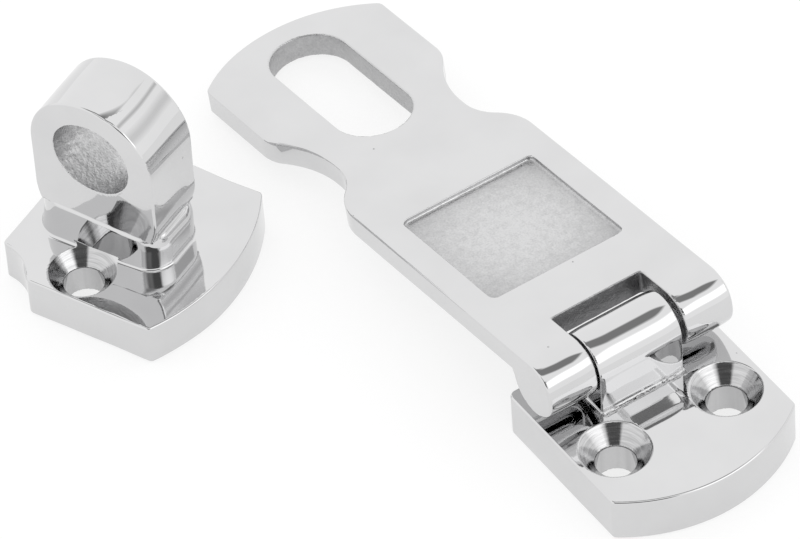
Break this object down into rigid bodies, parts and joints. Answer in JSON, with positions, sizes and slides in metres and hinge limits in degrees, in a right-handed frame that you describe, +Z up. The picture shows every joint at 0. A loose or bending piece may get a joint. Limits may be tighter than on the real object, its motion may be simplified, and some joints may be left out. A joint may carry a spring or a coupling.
{
  "type": "hasp and staple",
  "caption": "Heavy cast hasp lying open, with a slotted strap hinged on a concealed pin to a countersunk leaf, beside a loose staple with a padlock eye.",
  "frame": {"origin": "midway between the leaf's two screw holes, on the mounting plane", "axes": "+X from the leaf towards the strap's tip, +Y along the hinge pin towards the side the staple lies on, +Z up from the mounting plane"},
  "size_m": [0.1283, 0.0821, 0.0396],
  "materials": {
    "polished_leaf": "cast stainless steel, polished to a mirror",
    "polished_strap": "cast stainless steel, polished to a mirror, with a rough cast pocket",
    "pin_steel": "ground stainless steel",
    "polished_staple": "cast stainless steel, polished to a mirror, with a rough cast eye"
  },
  "bodies": {
    "leaf": {"hinge_leaf": "polished_leaf"},
    "strap": {"hasp_strap": "polished_strap", "hinge_pin": "pin_steel"},
    "staple": {"staple": "polished_staple"}
  },
  "joints": [
    {"name": "strap_hinge", "type": "hinge", "parent": "leaf", "child": "strap", "pos_m": [0.0122, 0, 0.0157], "axis": [0, -1, 0], "range_deg": [0, 189.3]},
    {"name": "staple_lift", "type": "slide", "parent": "leaf", "child": "staple", "axis": [0, 0, 1], "range_m": [0, 0.03]}
  ]
}
